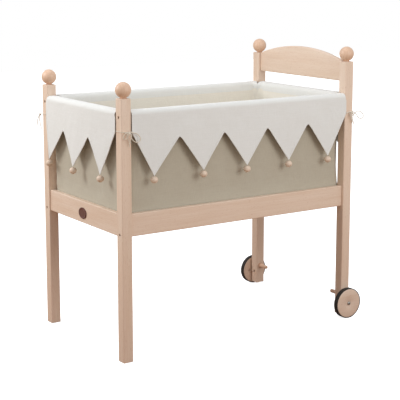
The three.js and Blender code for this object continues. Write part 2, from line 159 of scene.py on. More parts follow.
LOOPED_TIE = BAND + [
    (9, 21, 732.2), (3, 21.6, 730.4), (-0.6, 22.6, 725.4), (2, 23.8, 720.2), (8, 24.7, 718.8),
    (14, 25.2, 722), (20, 25.6, 727), (27, 25.8, 731.4),
    (36, 25.6, 733), (46, 25.2, 730.5), (55, 24.8, 725), (60.4, 24.4, 717.5), (60, 24.2, 710),
    (53.5, 24.4, 705.6), (45.5, 24.8, 706.5), (37, 25.8, 711.4), (29, 27.4, 718.4),
    (21.5, 28.8, 725.6), (14.5, 29.8, 730.8), (7.4, 30.2, 732), (1.2, 29.9, 728.6),
    (-1.6, 29.2, 722.4), (0.2, 28.2, 715.8), (4.6, 27, 710), (8.6, 25.8, 703), (10.6, 24.8, 695),
]
HANGING_TIE = BAND[:4] + [
    (20.4, 14, 732.4), (21.2, 19.5, 732.4), (23.2, 24.4, 731), (25, 27.2, 726.6),
    (25.6, 27.8, 719.5), (25.4, 27, 711), (24.6, 25.6, 703), (23.4, 24, 694),
    (22.4, 22.8, 686), (22, 22.2, 678),
]
BOWED_MATE = [
    (-19, 24, 730), (-12, 25.4, 732.2), (-4, 26.8, 732.6), (4, 26, 730.5), (11, 24.6, 725.5),
    (14.5, 23.6, 718), (11.5, 23.4, 711.6), (5, 24.4, 712.5), (0, 26.4, 718.5),
    (-3.5, 29, 726), (-8.5, 30.4, 728), (-11.5, 29.6, 722), (-10, 28.2, 714), (-8.8, 26.8, 706),
    (-10.5, 25.4, 698),
]
LOOPED_MATE = [
    (-15, 24.2, 728.5), (-9, 25.4, 732), (-2, 26.6, 733), (5, 27.4, 731.5), (10, 28.8, 726.5),
    (11, 29, 719), (9.4, 28.2, 711.5), (11, 27, 704), (14.5, 26, 697), (16.8, 25.4, 689.5),
]
HANGING_MATE = [
    (22.4, 24.2, 731.5), (25, 27.6, 727.5), (27.2, 31, 720.5), (28.8, 33.6, 711.5),
    (29.8, 35.2, 702), (30, 35.8, 693),
]


def flowing(points, steps=8):
    """A centripetal Catmull-Rom curve through the points."""
    ends = [2 * points[0] - points[1], *points, 2 * points[-1] - points[-2]]
    line = []
    for a, b, c, d in zip(ends, ends[1:], ends[2:], ends[3:]):
        t1 = (b - a).length ** 0.5
        t2 = t1 + (c - b).length ** 0.5
        t3 = t2 + (d - c).length ** 0.5
        for k in range(steps):
            t = t1 + (t2 - t1) * k / steps
            p = a * (t1 - t) / t1 + b * t / t1
            q = b * (t2 - t) / (t2 - t1) + c * (t - t1) / (t2 - t1)
            r = c * (t3 - t) / (t3 - t2) + d * (t - t2) / (t3 - t2)
            s = p * (t2 - t) / t2 + q * t / t2
            e = q * (t3 - t) / (t3 - t1) + r * (t - t1) / (t3 - t1)
            line.append(s * (t2 - t) / (t2 - t1) + e * (t - t1) / (t2 - t1))
    return [*line, points[-1]]


def face_outward(mesh):
    """Turns every face of a closed mesh to look outward."""
    work = bmesh.new()
    work.from_mesh(mesh)
    bmesh.ops.recalc_face_normals(work, faces=work.faces)
    work.to_mesh(mesh)
    work.free()


def tube(name, line, radius, closed=False, around=10):
    """A round cord as a mesh: rings of points along a line, each turned as little as possible."""
    count = len(line)
    points, side = [], None
    for i, spot in enumerate(line):
        ahead = line[(i + 1) % count] if closed or i < count - 1 else spot
        behind = line[i - 1] if closed or i > 0 else spot
        way = (ahead - behind).normalized()
        if side is None:
            side = way.orthogonal()
        side = (side - way * side.dot(way)).normalized()
        across = way.cross(side)
        for k in range(around):
            angle = 2 * math.pi * k / around
            points.append(spot + (side * math.cos(angle) + across * math.sin(angle)) * radius)
    faces = []
    for i in range(count if closed else count - 1):
        for k in range(around):
            a, b = i * around, (i + 1) % count * around
            faces.append((a + k, a + (k + 1) % around, b + (k + 1) % around, b + k))
    if not closed:
        for end, place in ((0, line[0]), (count - 1, line[-1])):
            inward = (line[1] - line[0] if end == 0 else line[-2] - line[-1]).normalized()
            points.append(place - inward * radius * BLUNT_END)
            for k in range(around):
                faces.append((end * around + k, end * around + (k + 1) % around, len(points) - 1))
    mesh = bpy.data.meshes.new(name)
    mesh.from_pydata(points, [], faces)
    face_outward(mesh)
    mesh.shade_smooth()
    made = bpy.data.objects.new(name, mesh)
    bpy.context.scene.collection.objects.link(made)
    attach(made, "frame")
    return made


def tie_cord(name, route, end, side):
    """A cord on one post, with its line and its length."""
    line = flowing([to_frame((end * (POST_X + p), side * (POST_Y + q), z)) for p, q, z in route])
    cord = tube(name, line, TIE_MM / 2 * MM)
    return cord, line, sum((b - a).length for a, b in zip(line, line[1:]))


def knot_on(name, place, end, side):
    """A small overhand knot: a line that winds three times through its own loop."""
    p, q, z = place
    middle = Vector((end * (POST_X + p), side * (POST_Y + q), z))
    line = []
    for k in range(KNOT_POINTS):
        a = 2 * math.pi * k / KNOT_POINTS
        x = KNOT_MM * (math.sin(a) + 2 * math.sin(2 * a))
        up = KNOT_MM * (math.cos(a) - 2 * math.cos(2 * a))
        inward = -side * KNOT_DEPTH_MM * math.sin(3 * a)
        line.append(to_frame(middle + Vector((end * x, inward, up))))
    knot = tube(name, line, 0.45 * TIE_MM * MM, closed=True)
    return knot


TIES = {
    "tie_foot_near": (BOWED_TIE, BOWED_MATE, (-5, 27, 730), -1, -1),
    "tie_foot_far": (HANGING_TIE, HANGING_MATE, (23.4, 25, 730), -1, 1),
    "tie_head_near": (LOOPED_TIE, LOOPED_MATE, (8, 27, 729), 1, -1),
    "tie_head_far": (LOOPED_TIE, LOOPED_MATE, (8, 27, 729), 1, 1),
}
tie_pieces = []
for name, (route, mate_route, knot_place, end, side) in TIES.items():
    knot = knot_on(f"knot_of_{name}", knot_place, end, side)
    cord, line, length = tie_cord(f"cotton_{name}", route, end, side)
    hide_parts(name)
    mate, line, mate_length = tie_cord(f"mate_of_{name}", mate_route, end, side)
    tie_pieces += [cord, knot, mate]
    print(name, round(length * 1000), "mm, and its mate", round(mate_length * 1000), "mm")

# %% [markdown]
# ## Colours and nodes
#
# A finish is a small tree of shader nodes. A few helpers keep the trees readable. One turns an
# sRGB hex colour into the linear values that the renderer works in, and one adds a node with its
# settings and its links in one call. The others are short words for what every finish needs: a
# noise pattern, a sum, a bump, and the shader's own sockets.

# %% Helpers for colour and nodes
def linear(hex_colour):
    """An sRGB hex colour as linear red, green, blue and alpha."""
    parts = [int(hex_colour[i:i + 2], 16) / 255 for i in (1, 3, 5)]
    curve = [c / 12.92 if c <= 0.04045 else ((c + 0.055) / 1.055) ** 2.4 for c in parts]
    return (*curve, 1.0)


def node(tree, kind, settings=None, **inputs):
    """Adds a node. Each input is a value, or another node's output to link."""
    made = tree.nodes.new(kind)
    for key, value in (settings or {}).items():
        setattr(made, key, value)
    for key, value in inputs.items():
        name = key.replace("_", " ")
        socket = made.inputs[int(name[3:])] if name.startswith("in ") else made.inputs[name]
        if isinstance(value, bpy.types.NodeSocket):
            tree.links.new(value, socket)
        else:
            socket.default_value = value
    return made


def new_finish(name, roughness, ior=1.5):
    """A material with an empty tree but for its shader and output, and its object coordinates."""
    material = bpy.data.materials.new(name)
    material.use_nodes = True
    tree = material.node_tree
    tree.nodes.clear()
    shader = node(tree, "ShaderNodeBsdfPrincipled", Roughness=roughness, IOR=ior)
    node(tree, "ShaderNodeOutputMaterial", Surface=shader.outputs["BSDF"])
    place = node(tree, "ShaderNodeTexCoord").outputs["Object"]
    return material, tree, shader, place


def colour_between(tree, factor, low, high, start=0.3, end=0.7):
    """Two hex colours mixed by a pattern, over the part of its range from start to end."""
    ramp = node(tree, "ShaderNodeValToRGB", Fac=factor)
    ramp.color_ramp.elements[0].position = start
    ramp.color_ramp.elements[1].position = end
    ramp.color_ramp.elements[0].color = linear(low)
    ramp.color_ramp.elements[1].color = linear(high)
    return ramp.outputs["Color"]


def speckle(tree, vector, scale=1.0, detail=2.0, **more):
    """A noise pattern from 0 to 1."""
    return node(tree, "ShaderNodeTexNoise", Scale=scale, Detail=detail, Vector=vector,
                **more).outputs["Fac"]


def maths(tree, operation, *numbers):
    """One sum, on values or other nodes' outputs."""
    inputs = {f"in_{i}": number for i, number in enumerate(numbers)}
    return node(tree, "ShaderNodeMath", {"operation": operation}, **inputs).outputs["Value"]


def spread(tree, value, low, high, to_low, to_high):
    """Moves a value's range from low..high to another."""
    return node(tree, "ShaderNodeMapRange", Value=value, From_Min=low, From_Max=high,
                To_Min=to_low, To_Max=to_high).outputs["Result"]


def bump(tree, height, strength, distance, **more):
    return node(tree, "ShaderNodeBump", Strength=strength, Distance=distance, Height=height,
                **more).outputs["Normal"]


def dress(tree, shader, **sockets):
    """Sets or links the shader's sockets by name."""
    for key, value in sockets.items():
        socket = shader.inputs[key.replace("_", " ")]
        if isinstance(value, bpy.types.NodeSocket):
            tree.links.new(value, socket)
        else:
            socket.default_value = value


print("helpers ready; mid grey is", round(linear("#808080")[0], 3), "in linear light")

# %% [markdown]
# ## Beech
#
# Beech is a pale, close-grained hardwood. Planed and sealed with clear satin lacquer it shows
# three things: soft bands along the board a few centimetres wide, fine streaks of grain, and
# short darker flecks where the rays of the tree are cut through. All three are stretched along
# the member, so there is one finish for each direction that a member runs in. Typical values for
# a satin lacquer are IOR 1.5 and roughness 0.4 to 0.5.

# %% Planed beech, along X, Y or Z
BAND_MM = 26
STREAK_MM = 2.2
FLECK_MM = 1.3
GRAIN_DIRECTIONS = {"x": (1, 0, 0), "y": (0, 1, 0), "z": (0, 0, 1)}


def stretched(tree, place, along, across_mm, along_mm):
    """Object coordinates scaled so that one unit is across_mm wide and along_mm long."""
    scale = [1 / (across_mm * MM)] * 3
    axis = "xyz".index(along)
    scale[axis] = 1 / (along_mm * MM)
    return node(tree, "ShaderNodeMapping", Vector=place, Scale=scale).outputs["Vector"]


def planed_beech(name, along, light, mid, fleck, roughness=0.45):
    material, tree, shader, place = new_finish(name, roughness)
    bands = speckle(tree, stretched(tree, place, along, BAND_MM, 14 * BAND_MM))
    streaks = speckle(tree, stretched(tree, place, along, STREAK_MM, 45 * STREAK_MM), detail=3.0,
                      Roughness=0.6)
    flecks = speckle(tree, stretched(tree, place, along, FLECK_MM, 7 * FLECK_MM), detail=1.0)
    grain = maths(tree, "MULTIPLY_ADD", bands, 0.5, maths(tree, "MULTIPLY", streaks, 0.5))
    board = colour_between(tree, grain, mid, light, 0.36, 0.62)
    wood = node(tree, "ShaderNodeMix", {"data_type": "RGBA"},
                in_0=spread(tree, flecks, 0.63, 0.74, 0.0, 0.55), in_6=board, in_7=linear(fleck))
    gloss = spread(tree, streaks, 0.3, 0.7, roughness + 0.07, roughness - 0.05)
    dress(tree, shader, Base_Color=wood.outputs[2], Roughness=gloss,
          Normal=bump(tree, streaks, 0.12, 0.0002), Coat_Weight=0.12, Coat_Roughness=0.35)
    return material


BEECH = {
    along: planed_beech(f"planed_beech_along_{along}", along, "#EBD4C0", "#E2C6AE", "#CBA78B")
    for along in GRAIN_DIRECTIONS
}
print("made", [m.name for m in BEECH.values()])

# %% [markdown]
# ## Turned wood, plywood and the dark badge
#
# The balls, pegs and beads are cut on a lathe, from the same wood. Turning cuts across the
# growth rings, so the surface shows nested rings and more end grain, which drinks the lacquer
# and looks warmer. The rings are drawn as bands of distance from a line beside the piece.

# %% Turned beech
RING_MM = 3.4


def turned_beech(name, light, dark, roughness=0.42, ring_mm=RING_MM):
    material, tree, shader, place = new_finish(name, roughness)
    bend = node(tree, "ShaderNodeTexNoise", Scale=18.0, Detail=2.0, Vector=place)
    moved = node(tree, "ShaderNodeVectorMath", {"operation": "MULTIPLY_ADD"},
                 in_0=bend.outputs["Color"], in_1=(0.02, 0.02, 0.02), in_2=place)
    rings = node(tree, "ShaderNodeTexWave", {"wave_type": "BANDS", "bands_direction": "X"},
                 Scale=1 / (ring_mm * MM) / 6.28, Distortion=1.4, Detail=2.0,
                 Vector=moved.outputs["Vector"])
    fibres = speckle(tree, stretched(tree, place, "z", 1.1, 9), detail=3.0)
    grain = maths(tree, "MULTIPLY_ADD", rings.outputs["Fac"], 0.12, 0.1)
    wood = colour_between(tree, maths(tree, "MULTIPLY_ADD", fibres, 0.65, grain), dark, light,
                          0.28, 0.72)
    dress(tree, shader, Base_Color=wood, Normal=bump(tree, fibres, 0.1, 0.0002),
          Coat_Weight=0.15, Coat_Roughness=0.3)
    return material


BALL_WOOD = turned_beech("turned_beech_lacquered", "#E8C7AE", "#DBB394")
BEAD_WOOD = turned_beech("turned_bead_waxed", "#EAD6C3", "#DCC2A9", 0.5, 2.0)
BADGE_WOOD = turned_beech("stained_hardwood_badge", "#6E3F33", "#582F26", 0.4, 2.4)
PLY = planed_beech("sanded_birch_plywood", "x", "#DCC09A", "#C9A97F", "#B08C62", 0.6)
print("made", BALL_WOOD.name, BEAD_WOOD.name, BADGE_WOOD.name, PLY.name)

# %% [markdown]
# ## Woven cotton
#
# Both cloths are plain-woven cotton: threads go over and under each other at right angles, about
# two to the millimetre. That is too fine to show in the render, so the weave is drawn at one
# thread every millimetre. Real yarn also varies in thickness, and each slub shows as a short line
# along its thread. Cotton has no gloss, but its loose fibres catch light at grazing angles, which
# is what the sheen socket is for.

# %% Plain-woven cotton
THREAD_MM = 1.0
SLUB_MM = 1.3


def thread_wave(tree, distance):
    """A sine along a distance in metres, one full wave for each pair of threads."""
    return maths(tree, "SINE", maths(tree, "MULTIPLY", distance, math.pi / (THREAD_MM * MM)))


def woven_cotton(name, light, dark, sheen=0.25, crease=0.35):
    material, tree, shader, place = new_finish(name, 0.92, 1.46)
    axes = node(tree, "ShaderNodeSeparateXYZ", Vector=place).outputs
    warp = thread_wave(tree, maths(tree, "ADD", axes["X"], axes["Y"]))
    weave = maths(tree, "MULTIPLY", warp, thread_wave(tree, axes["Z"]))
    slubs = speckle(tree, stretched(tree, place, "z", SLUB_MM, 16 * SLUB_MM))
    level = node(tree, "ShaderNodeMapping", Vector=place, Scale=(24, 24, 1 / (SLUB_MM * MM)))
    yarn = maths(tree, "ADD", slubs, speckle(tree, level.outputs["Vector"]))
    cloth = colour_between(tree, maths(tree, "MULTIPLY", yarn, 0.5), dark, light, 0.38, 0.6)
    handled = speckle(tree, place, 26.0, 4.0, Roughness=0.55, Distortion=0.6)
    soft = bump(tree, handled, crease, 0.004)
    dress(tree, shader, Base_Color=cloth, Normal=bump(tree, weave, 0.15, 0.0003, Normal=soft),
          Sheen_Weight=sheen, Sheen_Roughness=0.5, Specular_IOR_Level=0.25)
    return material


KHAKI = woven_cotton("khaki_plain_cotton", "#C3BCAA", "#BDB5A3")
CREAM = woven_cotton("cream_plain_cotton", "#E9E9E6", "#E5E5E1")
# The liner is the valance's cream cloth, tinted warmer: the tint is painted shade, for the warm
# light bounced round inside the tub.
CREAM_LINING_WARM_SHADED = woven_cotton("ecru_lining_cotton", "#EBE6DB", "#E6E1D5")
TICKING = woven_cotton("white_mattress_ticking", "#F0EEE8", "#E4E1D8", 0.15, 0.2)
# The ties are off-white cotton, toned down towards beige: that beige is painted shade, so the thin
# cords read grey against the white surround. The hem stitches and bead threads share it.
TIE_YARN_PAINTED_SHADE = woven_cotton("rolled_cotton_tie_painted_shade", "#EFE7D9", "#D8CBB6", 0.3, 0.1)
for piece in tie_pieces:
    piece.data.materials.append(TIE_YARN_PAINTED_SHADE)
print("made", [m.name for m in (KHAKI, CREAM, CREAM_LINING_WARM_SHADED, TICKING, TIE_YARN_PAINTED_SHADE)])

# %% [markdown]
# ## Rubber and zinc-plated steel
#
# The wheels wear a ring of black rubber, which is matt and scuffed grey where it has rolled. The
# bolts and washers are zinc-plated steel: a metal, so metallic is 1 and the IOR stays as it is,
# with a roughness that changes in patches because plating is never even.

# %% Rubber and zinc
def moulded_rubber(name):
    material, tree, shader, place = new_finish(name, 0.75, 1.52)
    scuffs = speckle(tree, place, 260.0, 5.0)
    dress(tree, shader, Base_Color=colour_between(tree, scuffs, "#26211E", "#463F39", 0.35, 0.8),
          Normal=bump(tree, scuffs, 0.25, 0.0003))
    return material


def zinc_plate(name):
    material, tree, shader, place = new_finish(name, 0.35)
    bloom = speckle(tree, place, 420.0, 3.0)
    dress(tree, shader, Metallic=1.0, Base_Color=colour_between(tree, bloom, "#9C9A96", "#C4C2BC"),
          Roughness=spread(tree, bloom, 0.3, 0.7, 0.28, 0.5))
    return material


RUBBER = moulded_rubber("moulded_black_rubber")
ZINC = zinc_plate("zinc_plated_steel")
print("made", RUBBER.name, ZINC.name)

# %% [markdown]
# ## Finishes for the frame's own members
#
# A member whose shape is already right keeps its mesh and only takes a finish. The grain has to
# run the way the piece was sawn: up the posts, along the rails.

# %% Put the finishes on the frame
def paint(node_name, finish):
    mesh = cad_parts[node_name].data
    mesh.materials.clear()
    mesh.materials.append(finish)


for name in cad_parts:
    if name.endswith(("_post_near", "_post_far")):
        paint(name, BEECH["z"])
    elif name in ("lower_rail_foot", "lower_rail_head", "upper_rail_foot", "upper_rail_head"):
        paint(name, BEECH["y"])
    elif name.startswith(("lower_rail", "upper_rail", "ledge")):
        paint(name, BEECH["x"])
    elif name.startswith(("spacer", "barrel_nut")):
        paint(name, ZINC)
    elif name == "base_board":
        paint(name, PLY)
print("painted the posts, rails, ledges, base board and fittings")

# %% [markdown]
# ## Making meshes
#
# Each new piece is a list of points and the faces between them. Most are grids: rows of points
# joined into four-sided faces, closed into a tube where the piece goes all the way round. A sheet
# of cloth is then given its thickness with a Solidify modifier, which is applied at once so that
# the creases at its cut edges can be marked sharp.

# %% From points to pieces
def quads(rows, columns, closed=False):
    """The faces of a grid, row by row. A closed grid joins its last column to its first."""
    last = columns if closed else columns - 1
    return [
        (r * columns + c, r * columns + (c + 1) % columns,
         (r + 1) * columns + (c + 1) % columns, (r + 1) * columns + c)
        for r in range(rows - 1) for c in range(last)
    ]


def caps(rows, columns):
    """The two end faces of a closed grid."""
    return [tuple(reversed(range(columns))), tuple(range((rows - 1) * columns, rows * columns))]


def make_piece(name, points, faces, finish, body, replaced=()):
    """A mesh piece on a body. Points are in millimetres from the middle of the stand."""
    mesh = bpy.data.meshes.new(name)
    mesh.from_pydata([to_frame(p) for p in points], [], faces)
    mesh.materials.append(finish)
    mesh.update()
    piece = bpy.data.objects.new(name, mesh)
    bpy.context.scene.collection.objects.link(piece)
    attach(piece, body)
    if replaced:
        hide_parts(*replaced)
    return piece


def add_modifier(piece, kind, **settings):
    modifier = piece.modifiers.new(kind.lower(), kind)
    for key, value in settings.items():
        setattr(modifier, key, value)
    return modifier


def settle(piece, crease_degrees=40):
    """Applies the modifiers, then shades smooth but for edges sharper than the crease."""
    graph = bpy.context.evaluated_depsgraph_get()
    mesh = bpy.data.meshes.new_from_object(piece.evaluated_get(graph))
    piece.modifiers.clear()
    piece.data = mesh
    face_outward(mesh)
    mesh.shade_smooth()
    mesh.set_sharp_from_angle(angle=math.radians(crease_degrees))
    return piece


def thicken(piece, thickness_mm, offset=0.0):
    add_modifier(piece, "SOLIDIFY", thickness=thickness_mm * MM, offset=offset,
                 use_even_offset=True)
    return settle(piece)


def cut_away(piece, cutters):
    """Takes the cutters' shapes out of the piece."""
    for cutter in cutters:
        add_modifier(piece, "BOOLEAN", operation="DIFFERENCE", object=cutter, solver="EXACT")
        settle(piece)
        bpy.data.objects.remove(cutter)
    return piece


print("a 3 by 4 grid has", len(quads(3, 4)), "faces, and closed it has", len(quads(3, 4, True)))

# %% [markdown]
# ## Turning on a lathe
#
# A turned piece is a profile swept round its axis. The profile is a list of a radius and a
# distance along the axis, so the same function makes balls, beads, wheels, pegs and bolts.

# %% A lathe
TURNED_CREASE = 35
AXES = {
    "z": lambda r, a, h: (r * math.cos(a), r * math.sin(a), h),
    "+y": lambda r, a, h: (r * math.sin(a), h, r * math.cos(a)),
    "-y": lambda r, a, h: (r * math.cos(a), -h, r * math.sin(a)),
    "+x": lambda r, a, h: (h, r * math.cos(a), r * math.sin(a)),
    "-x": lambda r, a, h: (-h, r * math.sin(a), r * math.cos(a)),
}


def lathe_points(profile, centre, axis, segments):
    points = []
    for radius, height in profile:
        for i in range(segments):
            x, y, z = AXES[axis](max(radius, 0.01), 2 * math.pi * i / segments, height)
            points.append((centre[0] + x, centre[1] + y, centre[2] + z))
    return points


def turn(name, profile, centre, finish, body, slot, replaced=(), axis="z", segments=48, ring=False):
    """A solid turned piece, its profile from one end to the other, or a ring if it closes."""
    points = lathe_points(profile, centre, axis, segments)
    faces = quads(len(profile), segments, True)
    if ring:
        start = (len(profile) - 1) * segments
        faces += [(start + i, start + (i + 1) % segments, (i + 1) % segments, i)
                  for i in range(segments)]
    else:
        faces += caps(len(profile), segments)
    piece = make_piece(name, points, faces, finish, body, replaced)
    return settle(piece, TURNED_CREASE)


def arc(radius, centre, start, end, steps):
    """Profile points round a circle, from one angle to another, in degrees."""
    angles = [math.radians(start + (end - start) * i / steps) for i in range(steps + 1)]
    return [(radius * math.cos(a), centre + radius * math.sin(a)) for a in angles]


print("a quarter round in 3 steps has", len(arc(10, 0, 0, 90, 3)), "profile points")

# %% [markdown]
# ## Ball finials
#
# Each post ends in a 50 mm ball on a short neck. The ball and neck are one turning, with a small
# fillet between them where the gouge can't reach, and a dowel that goes down into the post.

# %% Turn the four balls
BALL_R = 25.0
NECK_R = 9.5


def ball_finial(post):
    box = frame_box(post.replace("post", "finial"))
    middle = from_stand((box[0] + box[1]) / 2)
    top_of_post = frame_box(post)[1].z
    centre_height = box[1].z - BALL_R - top_of_post
    dowel = box[0].z - top_of_post
    profile = [(0, dowel), (4.6, dowel), (5.0, dowel + 1), (5.0, 0.3), (NECK_R + 1.2, 0.3),
               (NECK_R + 1.4, 0.9), (NECK_R, 2.0), (NECK_R, 2.8)]
    profile += arc(BALL_R, centre_height, -66, 90, 26)
    return turn(post.replace("post", "ball"), profile, (middle.x, middle.y, top_of_post),
                BALL_WOOD, "frame", "turned_beech", [post.replace("post", "finial")])


for post in ("foot_post_near", "foot_post_far", "head_post_near", "head_post_far"):
    ball = ball_finial(post)
print("turned four balls,", len(ball.data.vertices), "points each")

# %% [markdown]
# ## The arched headboard
#
# The headboard is sawn from one board: straight below, a shallow arc above. Its edges are
# rounded over with a router, which the Bevel modifier does along the edges of a plain extrusion.

# %% Saw and round the headboard
ARCH_RISE = 36.0
ARCH_STEPS = 48
JOINT_GAP = 0.3
ROUND_OVER = 4.5


def arched_headboard():
    low, high = (from_stand(corner) for corner in frame_box("headboard"))
    half = INNER_Y - JOINT_GAP
    radius = (half ** 2 + ARCH_RISE ** 2) / (2 * ARCH_RISE)
    outline = [(half, low.z), (-half, low.z)]
    for i in range(ARCH_STEPS + 1):
        y = -half + 2 * half * i / ARCH_STEPS
        outline.append((y, high.z - radius + math.sqrt(radius ** 2 - y ** 2)))
    count = len(outline)
    points = [(x, y, z) for x in (low.x, high.x) for y, z in outline]
    faces = [tuple(range(count)), tuple(reversed(range(count, 2 * count)))]
    faces += [(i, i + count, (i + 1) % count + count, (i + 1) % count) for i in range(count)]
    board = make_piece("arched_headboard", points, faces, BEECH["y"], "frame",
                       ["headboard"])
    board.data.validate()
    add_modifier(board, "BEVEL", width=ROUND_OVER * MM, segments=5, limit_method="ANGLE",
                 angle_limit=math.radians(40))
    return settle(board, 30)


headboard = arched_headboard()
print("headboard", len(headboard.data.polygons), "faces")

# %% [markdown]
# ## The oval badge
#
# A small dark oval plate sits on the foot rail. It is a turned-looking plate with a raised rim,
# built as ellipses one inside the other. It is left blank.

# %% Make the badge
BADGE_SEGMENTS = 72


def oval_plate():
    low, high = (from_stand(corner) for corner in frame_box("oval_badge"))
    centre = (low + high) / 2
    half_y = (high.y - low.y) / 2
    half_z = (high.z - low.z) / 2
    depth = high.x - low.x
    levels = [(1.0, 0.0), (1.0, 0.6), (0.97, 0.9), (0.93, 1.0), (0.87, 1.0), (0.83, 0.75),
              (0.6, 0.72), (0.3, 0.72), (0.02, 0.72)]
    points = []
    for scale, out in levels:
        for i in range(BADGE_SEGMENTS):
            angle = 2 * math.pi * i / BADGE_SEGMENTS
            points.append((high.x - out * depth, centre.y + scale * half_y * math.cos(angle),
                           centre.z + scale * half_z * math.sin(angle)))
    faces = quads(len(levels), BADGE_SEGMENTS, True) + caps(len(levels), BADGE_SEGMENTS)
    plate = make_piece("blank_oval_badge", points, faces, BADGE_WOOD, "frame",
                       ["oval_badge"])
    return settle(plate, 50)


badge = oval_plate()
print("badge", tuple(round(v * 1000) for v in badge.dimensions))

# %% [markdown]
# ## Wheels, tyres and bolts
#
# Each wheel is a thick beech disc with a thin rubber ring stretched round its rim. Its inner face
# has four blind holes for the brake peg. The holes are cut with the Boolean modifier, which is
# simplest when a drilled hole meets a turned face. The wheel turns on a domed bolt, driven by a
# hexagon key.

# %% Turn, drill and shoe the wheels
WHEEL_R = 51.0
TYRE_R = 53.5
WHEEL_WIDTH = 18.5
WHEEL_GAP = 3.5
AXLE_Z = TYRE_R
PEG_RISE = 24.0
HOLE_R = 5.6
HOLE_DEPTH = 8.0
KEY_R = 2.7
OUTER_Y = POST_Y + POST / 2
SIDE_AXIS = {"near": "-y", "far": "+y"}
SIDE_SIGN = {"near": -1, "far": 1}


def cutter(profile, centre, axis, segments=32):
    """A closed shape used only to cut with, so it belongs to no body."""
    points = [to_frame(p) for p in lathe_points(profile, centre, axis, segments)]
    mesh = bpy.data.meshes.new("cutter")
    mesh.from_pydata(points, [], quads(len(profile), segments, True) + caps(len(profile), segments))
    made = bpy.data.objects.new("cutter", mesh)
    bpy.context.scene.collection.objects.link(made)
    face_outward(mesh)
    return made


def wooden_wheel(where):
    axis, sign = SIDE_AXIS[where], SIDE_SIGN[where]
    centre = (POST_X, sign * (OUTER_Y + WHEEL_GAP), AXLE_Z)
    profile = [(4.4, 0.4), (4.9, 0), (WHEEL_R - 2.6, 0), (WHEEL_R - 1.0, 0.5), (WHEEL_R, 1.9),
               (WHEEL_R, WHEEL_WIDTH - 1.9), (WHEEL_R - 1.0, WHEEL_WIDTH - 0.5),
               (WHEEL_R - 2.6, WHEEL_WIDTH), (4.9, WHEEL_WIDTH), (4.4, WHEEL_WIDTH - 0.4)]
    disc = turn(f"wooden_wheel_{where}", profile, centre, BEECH["x"], f"wheel_{where}", "beech",
                [f"wheel_disc_{where}"], axis, 96, ring=True)
    drilled = []
    for i in range(4):
        angle = math.radians(90 * i)
        place = (centre[0] + PEG_RISE * math.sin(angle), centre[1],
                 centre[2] + PEG_RISE * math.cos(angle))
        blind = [(0, HOLE_DEPTH), (HOLE_R - 0.6, HOLE_DEPTH), (HOLE_R, HOLE_DEPTH - 0.6),
                 (HOLE_R, 0.6), (HOLE_R + 0.8, -0.2), (HOLE_R + 0.8, -2), (0, -2)]
        drilled.append(cutter(blind, place, axis))
    return cut_away(disc, drilled)


def rubber_tyre(where):
    centre = (POST_X, SIDE_SIGN[where] * (OUTER_Y + WHEEL_GAP), AXLE_Z)
    low, high = 0.4, WHEEL_WIDTH - 0.4
    profile = [(WHEEL_R + 0.25, low), (TYRE_R - 0.9, low), (TYRE_R - 0.25, low + 0.4),
               (TYRE_R, low + 1.3)]
    for groove in (5.4, 9.25, 13.1):
        profile += [(TYRE_R, groove - 0.5), (TYRE_R - 0.6, groove), (TYRE_R, groove + 0.5)]
    profile += [(TYRE_R, high - 1.3), (TYRE_R - 0.25, high - 0.4), (TYRE_R - 0.9, high),
                (WHEEL_R + 0.25, high)]
    return turn(f"rubber_tyre_{where}", profile, centre, RUBBER, f"wheel_{where}", "rubber",
                [f"tyre_{where}"], SIDE_AXIS[where], 96, ring=True)


def keyed(piece, centre, axis, face, deep):
    """Sinks a hexagon key's socket into a bolt head."""
    return cut_away(piece, [cutter([(0, face - deep), (KEY_R, face - deep), (KEY_R, face + 2),
                                    (0, face + 2)], centre, axis, 6)])


def axle_bolt(where):
    axis = SIDE_AXIS[where]
    centre = (POST_X, SIDE_SIGN[where] * (OUTER_Y + WHEEL_GAP + WHEEL_WIDTH), AXLE_Z)
    tip = -(WHEEL_WIDTH + WHEEL_GAP + 24)
    profile = [(0, tip), (3.4, tip), (4, tip + 0.8), (4, 0.3), (6.5, 0.3), (6.5, 1.1), (6.1, 2.1),
               (5.1, 3.1), (3.9, 3.7), (2.9, 3.95), (0, 4.0)]
    bolt = turn(f"domed_axle_bolt_{where}", profile, centre, ZINC, "frame", "steel",
                [f"axle_bolt_{where}"], axis, 40)
    return keyed(bolt, centre, axis, 4.0, 2.6)


def brake_peg(where):
    """Pulled back, its nose ends just inside the post's outer face."""
    sign = SIDE_SIGN[where]
    centre = (POST_X, sign * POST_Y, AXLE_Z + PEG_RISE)
    box = frame_box(f"brake_peg_{where}")
    low = sign * box[1 if sign < 0 else 0].y - POST_Y
    high = sign * box[0 if sign < 0 else 1].y - POST_Y
    profile = arc(6.8, low + 6.8, -89, -10, 9)
    profile += [(6.9, low + 9), (6.7, low + 13), (6.5, low + 18), (6.7, low + 24),
                (7.3, low + 31), (8.0, low + 38), (8.0, high - 10.6), (7.4, high - 10),
                (5.4, high - 10), (5.0, high - 9.6), (5.0, high - 1.2), (4.0, high), (0, high)]
    return turn(f"turned_brake_peg_{where}", profile, centre, BALL_WOOD, f"brake_peg_{where}",
                "turned_beech", [f"brake_peg_{where}"], SIDE_AXIS[where], 40)


for where in ("near", "far"):
    wooden_wheel(where)
    rubber_tyre(where)
    axle_bolt(where)
    peg = brake_peg(where)
print("wheels, tyres, axle bolts and pegs made; a peg is", round(peg.dimensions.y * 1000), "mm long")

# %% [markdown]
# ## Bolts in the posts
#
# The end rails are pulled tight to the posts by cylinder-head bolts, sunk in the holes of the
# posts' end faces. Only their heads show, in shadow, a few millimetres down.

